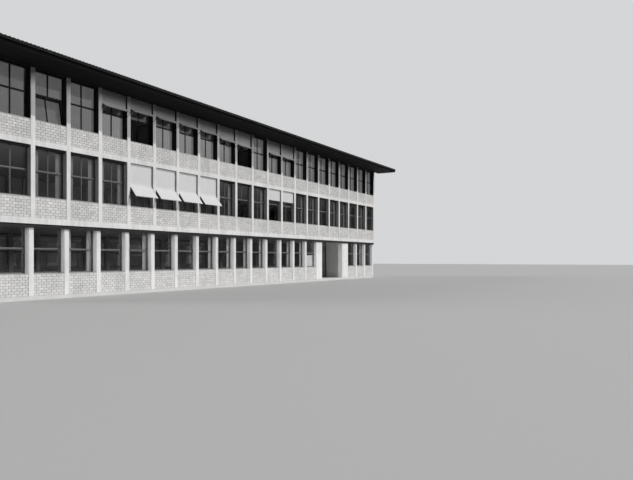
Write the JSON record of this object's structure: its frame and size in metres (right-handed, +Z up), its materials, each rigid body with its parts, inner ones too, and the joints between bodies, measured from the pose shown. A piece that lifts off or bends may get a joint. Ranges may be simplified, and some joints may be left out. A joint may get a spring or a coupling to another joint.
{
  "type": "school building wing, three storeys",
  "caption": "Three-storey post-war school wing with concrete posts, brick spandrels, awnings and a wide eave.",
  "frame": {"origin": "on the ground in the middle of the plan", "axes": "+X along the facade, +Y from the front to the back, +Z up"},
  "size_m": [39.24, 14.16, 11.8544],
  "materials": {
    "concrete": "fair-faced, weathered",
    "brick": "pale facing brick, matt",
    "sill_stone": "cast stone, matt",
    "glass": "clear window glass",
    "window_paint": "dark painted timber",
    "dark_timber": "dark stained boards",
    "roof_sheet": "corrugated fibre cement",
    "zinc": "weathered zinc",
    "awning_metal": "grey paint",
    "awning_fabric": "pale canvas",
    "curtain_fabric": "light woven curtain"
  },
  "bodies": {
    "root": {"ground_slab": "concrete", "ground_floor_piers_front": "concrete", "ground_floor_piers_back": "concrete", "entrance_piers": "concrete", "entrance_side_walls": "concrete", "entrance_screen": "window_paint", "entrance_glass": "glass", "ground_floor_spandrels_front": "brick", "ground_floor_spandrels_back": "brick", "ground_floor_glass_front": "glass", "ground_floor_glass_back": "glass", "ground_floor_end_walls": "brick", "first_floor_end_walls": "brick", "second_floor_end_walls": "brick", "first_floor_slab": "concrete", "second_floor_slab": "concrete", "attic_slab": "concrete", "first_floor_posts_front": "concrete", "first_floor_posts_back": "concrete", "second_floor_posts_front": "concrete", "second_floor_posts_back": "concrete", "first_floor_spandrels_front": "brick", "first_floor_spandrels_back": "brick", "second_floor_spandrels_front": "brick", "second_floor_spandrels_back": "brick", "window_sills": "sill_stone", "first_floor_glass_front": "glass", "first_floor_glass_back": "glass", "second_floor_glass_front": "glass", "second_floor_glass_back": "glass", "roof_purlins": "dark_timber", "gable_ends": "brick", "roof_slope_front": "roof_sheet", "roof_slope_back": "roof_sheet", "ridge_cap": "roof_sheet", "eaves_soffits": "dark_timber", "fascia_boards": "dark_timber", "verge_boards": "dark_timber", "gutter_front": "zinc", "gutter_back": "zinc", "awning_rollers": "awning_metal", "first_floor_awnings": "awning_fabric", "second_floor_awnings": "awning_fabric", "awning_rods": "awning_metal", "awning_arms": "awning_metal", "curtains": "curtain_fabric"}
  },
  "joints": []
}
